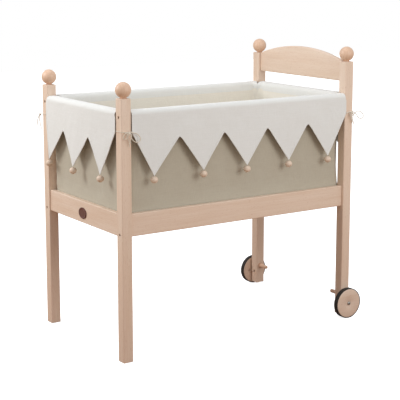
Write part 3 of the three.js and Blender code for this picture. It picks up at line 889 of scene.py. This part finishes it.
# %% Sink the bolts
BOLT_HEIGHTS = (410, 776)
HOLE_FLOOR = 11.7
HEAD_DOWN = 3.2
for end, post_end in ((-1, "foot"), (1, "head")):
    for where, side in SIDE_SIGN.items():
        for level, height in zip(("low", "high"), BOLT_HEIGHTS):
            axis = "-x" if end < 0 else "+x"
            centre = (end * (POST_X + POST / 2), side * POST_Y, height)
            head = [(0, -HOLE_FLOOR), (4.5, -HOLE_FLOOR), (4.5, -HEAD_DOWN - 0.5),
                    (4.1, -HEAD_DOWN), (0, -HEAD_DOWN)]
            bolt = turn(f"frame_bolt_{post_end}_{where}_{level}", head, centre, ZINC, "frame",
                        "steel", axis=axis, segments=28)
            keyed(bolt, centre, axis, -HEAD_DOWN, 3.5)
print("sank eight bolts,", HEAD_DOWN, "mm below the wood")

# %% [markdown]
# ## The outer bag
#
# The bag is one open-topped shape of khaki cotton. Its long and end panels are flat where they
# are held by the rails, and its corners are pulled across on the slant, inside the posts. It is
# made as a loft: rings at many heights, each a rectangle with its corners cut off and its bends
# softened, moved in and out a little where the cloth is slack. At the far corner of the foot end
# the cloth is pulled out a few millimetres further, so it meets the post.

# %% Loft the bag
CLOTH = 1.6
BAG_ROWS = 56
BAG_PULL = 3.5
RAIL_HOLDS_Z = 478
BROAD_MM = 3.4
FOLD_MM = 3.2
PLEAT_MM = 3.0
SHRINK_MM = 2.2


def cut_ring(half_x, half_y, cut_x, cut_y, soft, counts):
    """A rectangle with cut corners and soft bends, counter-clockwise. Counts: end, long, cut."""
    x, y = half_x - cut_x, half_y - cut_y
    corners = [Vector(c) for c in (
        (half_x, -y), (half_x, y), (x, half_y), (-x, half_y),
        (-half_x, y), (-half_x, -y), (-x, -half_y), (x, -half_y),
    )]
    steps = [counts[0], counts[2], counts[1], counts[2]] * 2
    ring = []
    for i, corner in enumerate(corners):
        before, after = corners[i - 1], corners[(i + 1) % 8]
        enter = corner + (before - corner).normalized() * soft
        leave = corner + (after - corner).normalized() * soft
        ring += [enter * (1 - t) ** 2 + corner * 2 * t * (1 - t) + leave * t * t
                 for t in (0, 0.25, 0.5, 0.75)]
        stop = after + (corner - after).normalized() * soft
        ring += [leave.lerp(stop, k / steps[i]) for k in range(steps[i])]
    return ring


def between(levels, z):
    """The sizes at height z, from a list of (z, sizes) that goes upward."""
    for (z0, low), (z1, high) in zip(levels, levels[1:]):
        if z <= z1:
            t = max(0.0, (z - z0) / (z1 - z0))
            return [a + (b - a) * t for a, b in zip(low, high)]
    return list(levels[-1][1])


def smooth(value, start, end):
    t = min(1.0, max(0.0, (value - start) / (end - start)))
    return t * t * (3 - 2 * t)


def lofted(heights, sizes_at, soft, counts, move, floor_scales):
    """Points and faces of an open-topped bag, from its top ring down and in across its floor."""
    points = []
    for z in heights:
        ring = cut_ring(*sizes_at(z), soft, counts)
        for i, p in enumerate(ring):
            along = (ring[(i + 1) % len(ring)] - ring[i - 1]).normalized()
            out = Vector((along.y, -along.x))
            shifted = p + out * move(p, z)
            points.append((shifted.x, shifted.y, z))
    across = len(ring)
    floor = points[-across:]
    for scale in floor_scales:
        points += [(x * (1 - (1 - scale) * 0.55), y * scale, z) for x, y, z in floor]
    faces = quads(len(heights) + len(floor_scales), across, True)
    faces.append(tuple(range(len(points) - across, len(points))))
    return points, faces


BAG_SIZES = [
    (419, (434.6, 239.0, 25, 19)),
    (480, (435.0, 239.4, 20, 18)),
    (620, (438.6, 244.0, 41, 29)),
    (755, (442.4, 250.2, 40, 38)),
]


def bag_slack(p, z):
    """How far the cloth stands in or out. It lies tight behind the lower rails."""
    free = smooth(z, RAIL_HOLDS_Z, 525) * (1 - 0.6 * smooth(z, 690, 755))
    corner = smooth(abs(p.x), 330, 400) * smooth(abs(p.y), 150, 205)
    broad = BROAD_MM * noise.noise(Vector((p.x / 130, p.y / 130, z / 300)))
    leaning = Vector(((p.x + 0.2 * z) / 44, (p.y - 0.2 * z) / 44, z / 260 + 9))
    folds = FOLD_MM * noise.noise(leaning)
    pleats = PLEAT_MM * abs(noise.noise(Vector((p.x / 21, p.y / 21, z / 420 + 4)))) ** 0.7
    pulled = BAG_PULL * smooth(-p.x, 340, 405) * smooth(p.y, 165, 215) * smooth(z, RAIL_HOLDS_Z, 500)
    return free * (broad + folds + pleats * (0.4 + corner) - SHRINK_MM) + pulled


bag_low, bag_high = frame_box("outer_bag")
bag_span = bag_high.z - bag_low.z - 3
bag_heights = [bag_high.z - 1 - bag_span * k / BAG_ROWS for k in range(BAG_ROWS + 1)]
bag_points, bag_faces = lofted(
    bag_heights, lambda z: between(BAG_SIZES, z), 9, (40, 76, 6), bag_slack,
    (0.985, 0.95, 0.8, 0.5, 0.2))
bag = make_piece("khaki_cotton_bag", bag_points, bag_faces, KHAKI, "frame",
                 ["outer_bag"])
thicken(bag, CLOTH)


# %% [markdown]
# ## The liner
#
# Inside the bag is a second tub of the same cream cotton, tinted a little warmer: the tint is
# painted shade, for the warm light bounced round inside the tub. It is smoother, because the
# mattress and the rim stretch it. Each corner is cut across on the slant, in front of the post,
# with an upright seam in the middle, drawn as a sharp crease. Its top edge is tucked in behind
# the rim.

# %% Loft the liner
LINER_ROWS = 40
LINER_TUCK = 25.0
SEAM_RIDGE = 1.8
LINER_SIZES = [
    (431, (420.5, 226.0, 26, 24)),
    (640, (421.5, 229.0, 25, 25)),
    (758, (421.9, 230.2, 25, 25)),
    (775, (423.4, 231.8, 25, 25)),
]
liner_bottom = frame_box("liner")[0].z


def liner_slack(p, z):
    """Nearly flat, but for a sharp crease at each corner seam and a little give in the walls."""
    held = smooth(z, 440, 520) * (1 - smooth(z, 730, 765))
    seam = math.exp(-(((abs(p.x) - 409.5) - (abs(p.y) - 217)) / 2.5) ** 2) * (abs(p.x) > 390)
    broad = 1.6 * noise.noise(Vector((p.x / 140 + 5, p.y / 140, z / 200)))
    pulls = 0.8 * noise.noise(Vector((p.x / 26, p.y / 26 + 3, z / 300)))
    return held * (broad + pulls - 0.8) + SEAM_RIDGE * seam


liner_top = RIM_TOP - LINER_TUCK
liner_span = liner_top - liner_bottom - 1
liner_heights = [liner_top - liner_span * k / LINER_ROWS for k in range(LINER_ROWS + 1)]
liner_points, liner_faces = lofted(
    liner_heights, lambda z: between(LINER_SIZES, z), 10, (36, 66, 12), liner_slack,
    (0.985, 0.93, 0.75, 0.45, 0.15))
liner = make_piece("ecru_cotton_liner", liner_points, liner_faces, CREAM_LINING_WARM_SHADED, "frame",
                   ["liner"])
thicken(liner, CLOTH)

# %% [markdown]
# ## The rim and the zigzag valance
#
# On each side one strip of off-white cotton starts inside the rim, rolls over the padded rail and
# hangs down outside, where it is cut into points. Each point is weighted by its bead, so the
# strip hangs nearly flat, with a little curl. The scissors turn at the top of each notch, so a
# notch is a small lopsided arch. Every strip is a grid: its columns run from the inner edge to the
# cut edge, and one always falls on each point and each bend of a notch, so the zigzag stays crisp.

# %% Lay out the four sides
TIE_Z = 728.0
LONG_NOTCHES = (-251.5, -80.5, 90.5, 261.5)
END_NOTCHES = (-108.0, 62.0)


def long_side(turn, left, right):
    return dict(turn=turn, line=POST_Y, left=left, right=right, left_z=TIE_Z, right_z=TIE_Z,
                beads=5, notches=LONG_NOTCHES, depth=116.0, limit=INNER_X - 0.9)


def end_side(turn, left, right, left_z):
    return dict(turn=turn, line=POST_X, left=left, right=right, left_z=left_z, right_z=TIE_Z,
                beads=3, notches=END_NOTCHES, depth=110.0, limit=INNER_Y - 0.9)


SIDES = {
    "near": long_side(0.0, -424.5, 428.0),
    "far": long_side(math.pi, -427.0, 427.0),
    "head": end_side(math.pi / 2, -237.0, 237.0, TIE_Z),
    "foot": end_side(-math.pi / 2, -236.0, 235.0, 712.0),
}
HANG = 20.2
ROLL_R = 14.0
ROLL_END_Z = RIM_TOP - ROLL_R - 0.8
NOTCH_ARCH = [(-7, 0.0), (-3, 1.0), (0.5, 3.6), (5, 1.6), (12, 0.0)]
NOTCH_LIFT = 3.5


def on_side(where, u, out, z):
    """A point on one side: u along it, out from the posts' centre line, and its height."""
    side = SIDES[where]
    c, s = math.cos(side["turn"]), math.sin(side["turn"])
    x, y = u, -(side["line"] + out)
    return (c * x - s * y, s * x + c * y, z)


def along_side(where, point):
    """How far along a side a point of the stand lies."""
    side = SIDES[where]
    return math.cos(side["turn"]) * point.x + math.sin(side["turn"]) * point.y


for where, side in SIDES.items():
    tips = []
    for i in range(side["beads"]):
        low, high = frame_box(f"bead_{where}_{i + 1}")
        tips.append(along_side(where, from_stand((low + high) / 2)))
        side["tip_z"] = high.z + 0.3
    side["tips"] = sorted(tips)
    notch_z = side["tip_z"] + side["depth"] + NOTCH_LIFT
    notches = side["notches"]
    side["edge"] = [(side["left"], side["left_z"])]
    for i, tip in enumerate(side["tips"]):
        side["edge"].append((tip, side["tip_z"]))
        if i < len(notches):
            for step, drop in NOTCH_ARCH:
                to_tip = notches[i] - side["tips"][i + (step > 0)]
                slope = (notch_z - side["tip_z"]) / abs(to_tip)
                side["edge"].append((notches[i] + step, notch_z - slope * abs(step) - drop))
    side["edge"].append((side["right"], side["right_z"]))
    side["curl"] = [random.uniform(0.5, 5.0) for _ in side["tips"]]
    side["twist"] = [random.uniform(-3.0, 3.0) for _ in side["tips"]]
    print(where, "points at", [round(t) for t in side["tips"]])

# %% [markdown]
# How far the cloth stands out is one function of the place along the side and the height. The
# strip, its hem and its beads all use it, so they stay together.

# %% The hang of the cloth
TIP_REACH = 0.62
TWIST_REACH = 0.3
DRAPE_MM = 2.4
CRUMPLE_MM = 0.9


def edge_height(where, u):
    """The height of the zigzag edge at u."""
    edge = SIDES[where]["edge"]
    for (u0, z0), (u1, z1) in zip(edge, edge[1:]):
        if u <= u1 + 1e-6:
            return z0 + (z1 - z0) * (u - u0) / (u1 - u0)
    return edge[-1][1]


def hang(where, u, z):
    """How far out from the posts' centre line the middle of the cloth hangs."""
    side = SIDES[where]
    depth = smooth(z, ROLL_END_Z, side["tip_z"])
    pitch = side["tips"][1] - side["tips"][0]
    out = HANG
    for tip, curl, twist in zip(side["tips"], side["curl"], side["twist"]):
        near = max(0.0, 1 - abs(u - tip) / (TIP_REACH * pitch))
        out += depth ** 1.5 * near * (curl + twist * (u - tip) / (TWIST_REACH * pitch))
    offset = side["turn"] * 7
    drape = noise.noise(Vector((u / 62 + offset, z / 300, offset)))
    crumple = noise.noise(Vector((u / 24 + offset, z / 90, 5 - offset)))
    at_post = 1 - smooth(abs(u), side["limit"] - 60, side["limit"] - 10)
    fall = smooth(ROLL_END_Z - z, 4, 60)
    return out + fall * at_post * (DRAPE_MM * drape + CRUMPLE_MM * crumple)


def columns_of(where, spacing=6.0):
    """Places along the side, with one on every point and notch."""
    edge = SIDES[where]["edge"]
    places = [edge[0][0]]
    for (u0, _), (u1, _) in zip(edge, edge[1:]):
        steps = max(2, round((u1 - u0) / spacing))
        places += [u0 + (u1 - u0) * (k + 1) / steps for k in range(steps)]
    return places


CORNER_CUT = 25.0
ROLL_INNER = -20.4


def roll_path():
    """The strip's way over the rail: out from the posts' centre line, and height."""
    top = RIM_TOP - 0.8
    path = [(ROLL_INNER + 0.6, RIM_TOP - 33)]
    path += [(ROLL_INNER, RIM_TOP - down) for down in (30, 22, 15)]
    bends = [(ROLL_INNER + ROLL_R, (160, 140, 120, 105)), (HANG - ROLL_R, (78, 60, 42, 25, 10, 0))]
    for middle, angles in bends:
        for a in map(math.radians, angles):
            path.append((middle + ROLL_R * math.cos(a), top - 0.1 - ROLL_R * (1 - math.sin(a))))
        if middle < 0:
            path += [(-3, top), (3, top)]
    return path


FLAP_ROWS = 28


def valance_strip(where):
    side = SIDES[where]
    places = columns_of(where)
    path = roll_path()
    points = []
    for out, z in path:
        for u in places:
            reach = side["right"] if u > 0 else -side["left"]
            held = u * side["limit"] / reach
            puff = 0.7 * noise.noise(Vector((held / 45, side["turn"] * 3, z / 50)))
            past = max(0.0, abs(held) - side["limit"] + CORNER_CUT) / 2 * smooth(-out, 0, 18)
            held -= math.copysign(past, held)
            points.append(on_side(where, held, out - past + puff * (out > 10),
                                  z + min(0.0, puff)))
    for row in range(1, FLAP_ROWS + 1):
        for u in places:
            top, bottom = path[-1][1], edge_height(where, u)
            z = top + (bottom - top) * row / FLAP_ROWS
            reach = side["right"] if u > 0 else -side["left"]
            free = smooth(top - z, 0, 12)
            placed = u * (side["limit"] / reach * (1 - free) + free)
            points.append(on_side(where, placed, hang(where, u, z), z))
    strip = make_piece(f"cream_valance_{where}", points, quads(len(path) + FLAP_ROWS, len(places)),
                       CREAM, "frame", [f"valance_{where}"])
    return thicken(strip, CLOTH)


valances = {where: valance_strip(where) for where in SIDES}
print("valance strips", {w: len(v.data.polygons) for w, v in valances.items()})

# %% [markdown]
# ## Hems and stitches
#
# The cut edge is turned under and sewn, which makes a slightly thicker, lighter border about
# 6 mm wide. The border is a ribbon that follows the zigzag, mitred at each point and notch, and a
# row of short stitches runs along it.

# %% Sew the hems
HEM_MM = 6.0
HEM_STEPS = 22
HEM_RAISE = 1.15
STITCH_EVERY = 6.5
STITCH_LONG = 3.8


def inset_edge(where, inset):
    """The zigzag edge moved into the cloth by inset, its bends mitred."""
    edge = [Vector(p) for p in SIDES[where]["edge"]]
    normals = []
    for a, b in zip(edge, edge[1:]):
        way = (b - a).normalized()
        normals.append(Vector((-way.y, way.x)))
    moved = [edge[0] + Vector((0, inset / normals[0].y))]
    for i in range(1, len(edge) - 1):
        both = normals[i - 1] + normals[i]
        moved.append(edge[i] + both * inset / (1 + normals[i - 1].dot(normals[i])))
    moved.append(edge[-1] + Vector((0, inset / normals[-1].y)))
    return moved


def hem_ribbon(where):
    rows = []
    for inset in (0.1, 0.9, HEM_MM - 0.9, HEM_MM):
        moved = inset_edge(where, inset)
        row = []
        for a, b in zip(moved, moved[1:]):
            row += [a.lerp(b, k / HEM_STEPS) for k in range(HEM_STEPS)]
        row.append(moved[-1])
        rows.append(row)
    points = [on_side(where, p.x, hang(where, p.x, p.y) + HEM_RAISE, p.y)
              for row in rows for p in row]
    ribbon = make_piece(f"turned_hem_{where}", points, quads(len(rows), len(rows[0])), CREAM,
                        "frame")
    return thicken(ribbon, 0.7)


def stitch_row(where):
    """Short raised stitches, each a small four-sided dart, in one mesh."""
    line = inset_edge(where, HEM_MM - 1.6)
    points, faces = [], []
    for a, b in zip(line, line[1:]):
        length = (b - a).length
        way = (b - a) / length
        for k in range(int((length - STITCH_LONG) / STITCH_EVERY)):
            start = a + way * (STITCH_EVERY * (k + 0.5))
            first = len(points)
            for step, wide, high in ((0, 0, 0), (0.5, 0.45, 0), (0.5, -0.45, 0), (0.5, 0, 0.45),
                                     (1, 0, 0)):
                p = start + way * (STITCH_LONG * step) + Vector((-way.y, way.x)) * wide
                out = hang(where, p.x, p.y) + HEM_RAISE + 0.35 + high
                points.append(on_side(where, p.x, out, p.y))
            f = first
            faces += [(f, f + 1, f + 3), (f, f + 3, f + 2), (f, f + 2, f + 1),
                      (f + 4, f + 3, f + 1), (f + 4, f + 2, f + 3), (f + 4, f + 1, f + 2)]
    stitches = make_piece(f"hem_stitches_{where}", points, faces, TIE_YARN_PAINTED_SHADE, "frame")
    return settle(stitches, 60)


for where, strip in valances.items():
    hem = hem_ribbon(where)
    stitches = stitch_row(where)
    side = SIDES[where]
    drop = (ROLL_END_Z - side["tip_z"]) * MM

# %% [markdown]
# ## Beads
#
# A turned bead, threaded on cotton, weighs down each point. A bead is not quite a ball: its two
# ends are flattened round the bore, and the thread's knot sits in the lower one.

# %% Thread the beads
BEAD_R = 12.0
BEAD_SQUASH = 0.92


def bead_profile():
    body = [(r, BEAD_SQUASH * h) for r, h in arc(BEAD_R, 0, -78, 78, 20)]
    return [(0, -7.4), (1.1, -7.5), (1.5, -9.0), *body, (1.5, 9.0), (1.1, 7.5), (0, 7.4)]


for where, side in SIDES.items():
    for i in range(side["beads"]):
        name = f"bead_{where}_{i + 1}"
        low, high = frame_box(name)
        middle = from_stand((low + high) / 2)
        u = along_side(where, middle)
        place = on_side(where, u, hang(where, u, side["tip_z"]), middle.z)
        turn(f"threaded_{name}", bead_profile(), place, BEAD_WOOD, "frame", "bead_wood", [name],
             segments=32)
        thread = [(0, -12.4), (1.2, -12.0), (1.7, -10.9), (1.2, -9.8), (0.6, -9.2), (0.55, 12.0),
                  (0.9, 13.5), (0, 14.0)]
        turn(f"bead_thread_{where}_{i + 1}", thread, place, TIE_YARN_PAINTED_SHADE, "frame", "tie_tape",
             segments=12)
print("threaded", sum(side["beads"] for side in SIDES.values()), "beads")

# %% [markdown]
# ## Mattress
#
# A flat foam pad in quilted ticking lies on the bottom. It is lofted like the bag, with its sides
# a little full, and its top pillowed by diagonal quilting. Piping covers the two edge seams.

# %% Quilt the mattress
QUILT_MM = 92.0
QUILT_PUFF = 3.6
PIPING_R = 2.2
PAD_CORNER = 42


def pad_ring(inset, half_x, half_y, corner):
    r = max(corner - inset, 3.0)
    return cut_ring(half_x - inset, half_y - inset, r * 0.75, r * 0.75, r * 0.42, (34, 66, 4))


def quilted_pad():
    low, high = (from_stand(corner) for corner in frame_box("mattress"))
    half_x, half_y = high.x - 2, high.y - 2
    thick = high.z - low.z
    rows = [(d, low.z) for d in (half_y - 8, 160, 100, 50, 20, 8)]
    rows += [(3.5, low.z + 1.2), (1.0, low.z + 4), (-0.6, low.z + 0.3 * thick),
             (-0.6, low.z + 0.7 * thick), (1.0, high.z - 8), (3.5, high.z - 5.2)]
    rows += [(d, high.z - 4) for d in (8, *range(14, int(half_y) - 8, 7), half_y - 8)]
    points = []
    for k, (inset, z) in enumerate(rows):
        for p in pad_ring(inset, half_x, half_y, PAD_CORNER):
            puff = 0.0
            if k > 11:
                quilt = math.sin(math.pi * (p.x + p.y) / QUILT_MM)
                quilt *= math.sin(math.pi * (p.x - p.y) / QUILT_MM)
                puff = QUILT_PUFF * abs(quilt) ** 0.5 * smooth(inset, 4, 22)
            points.append((p.x, p.y, z + puff))
    across = len(points) // len(rows)
    faces = quads(len(rows), across, True) + caps(len(rows), across)
    pad = make_piece("quilted_mattress", points, faces, TICKING, "frame",
                     ["mattress"])
    settle(pad, 60)
    for name, z in (("lower", low.z + 2.4), ("upper", high.z - 6.2)):
        pipe_along(f"mattress_piping_{name}", pad_ring(PIPING_R, half_x, half_y, PAD_CORNER), z)
    return pad


def pipe_along(name, ring, z):
    """A round piping cord sewn along a closed seam."""
    piping = tube(name, [to_frame((p.x, p.y, z)) for p in ring], PIPING_R * MM, closed=True)
    piping.data.materials.append(TICKING)
    return piping


mattress = quilted_pad()
print("mattress", [round(v, 3) for v in mattress.dimensions], "m")

# %% [markdown]
# ## Floor, light and air
#
# The studio is as plain as can be: a pale floor that runs out of sight, and a white surround. A
# small lamp low on the right lights the long side, a stronger one on the left and behind lights
# the foot end and the headboard, and a weak one hangs overhead for the rim. They are near enough
# that the legs get less of their light. Near the stand the floor sends back a dim warm light, as
# boards would, and further off a paler one, but it looks white to the camera. The Light Path node
# tells the two cases apart.

# %% Light the studio
FLOOR_HALF = 9000.0
FLOOR_STEPS = 24
FLOOR_Z = -0.4
BOARDS_NEAR = "#8C5A2B"
FLOOR_FAR = "#CFC3B2"
BOARDS_REACH = (0.7, 2.6)
FLOOR_GLOW = 0.8
ROOM_LIGHT = "#FBFCFF"
ROOM_STRENGTH = 0.67


def pale_floor():
    spots = [FLOOR_HALF * (2 * k / FLOOR_STEPS - 1) for k in range(FLOOR_STEPS + 1)]
    points = [to_frame((x, y, FLOOR_Z)) for y in spots for x in spots]
    mesh = bpy.data.meshes.new("pale_floor")
    mesh.from_pydata(points, [], quads(FLOOR_STEPS + 1, FLOOR_STEPS + 1))
    material, tree, shader, place = new_finish("matt_white_backdrop", 0.9)
    tone = colour_between(tree, speckle(tree, place, 3.0, 1.0), "#F4F4F4", "#F8F8F8")
    seen = node(tree, "ShaderNodeLightPath")
    away = node(tree, "ShaderNodeVectorMath", {"operation": "LENGTH"}, in_0=place)
    reach = spread(tree, away.outputs["Value"], *BOARDS_REACH, 0.0, 1.0)
    bounce = colour_between(tree, reach, BOARDS_NEAR, FLOOR_FAR)
    paint = node(tree, "ShaderNodeMix", {"data_type": "RGBA"},
                 in_0=seen.outputs["Is Camera Ray"], in_6=bounce, in_7=tone)
    dress(tree, shader, Base_Color=paint.outputs[2], Emission_Color=(1, 1, 1, 1),
          Emission_Strength=maths(tree, "MULTIPLY", seen.outputs["Is Camera Ray"], FLOOR_GLOW))
    mesh.materials.append(material)
    floor = bpy.data.objects.new("pale_floor", mesh)
    bpy.context.scene.collection.objects.link(floor)


def soft_lamp(name, place, aim, size_m, watts):
    data = bpy.data.lights.new(name, "AREA")
    data.shape = "SQUARE"
    data.size = size_m
    data.energy = watts
    lamp = bpy.data.objects.new(name, data)
    bpy.context.scene.collection.objects.link(lamp)
    lamp.location = to_frame(place)
    direction = to_frame(aim) - lamp.location
    lamp.rotation_mode = "QUATERNION"
    lamp.rotation_quaternion = direction.to_track_quat("-Z", "Y")


def white_surround():
    world = bpy.data.worlds.new("white_studio")
    bpy.context.scene.world = world
    world.use_nodes = True
    tree = world.node_tree
    room = tree.nodes["Background"]
    room.inputs["Color"].default_value = linear(ROOM_LIGHT)
    room.inputs["Strength"].default_value = ROOM_STRENGTH
    white = node(tree, "ShaderNodeBackground", Color=(1, 1, 1, 1), Strength=1.0)
    seen = node(tree, "ShaderNodeLightPath")
    both = node(tree, "ShaderNodeMixShader", in_0=seen.outputs["Is Camera Ray"],
                in_1=room.outputs["Background"], in_2=white.outputs["Background"])
    tree.links.new(both.outputs["Shader"], tree.nodes["World Output"].inputs["Surface"])


white_surround()
pale_floor()
soft_lamp("right_lamp", (450, -2250, 1300), (0, 0, 560), 1.0, 14)
soft_lamp("left_lamp", (-2000, 900, 1800), (0, 0, 620), 0.9, 24)
soft_lamp("overhead_lamp", (-250, 100, 2500), (0, 0, 700), 1.4, 7)
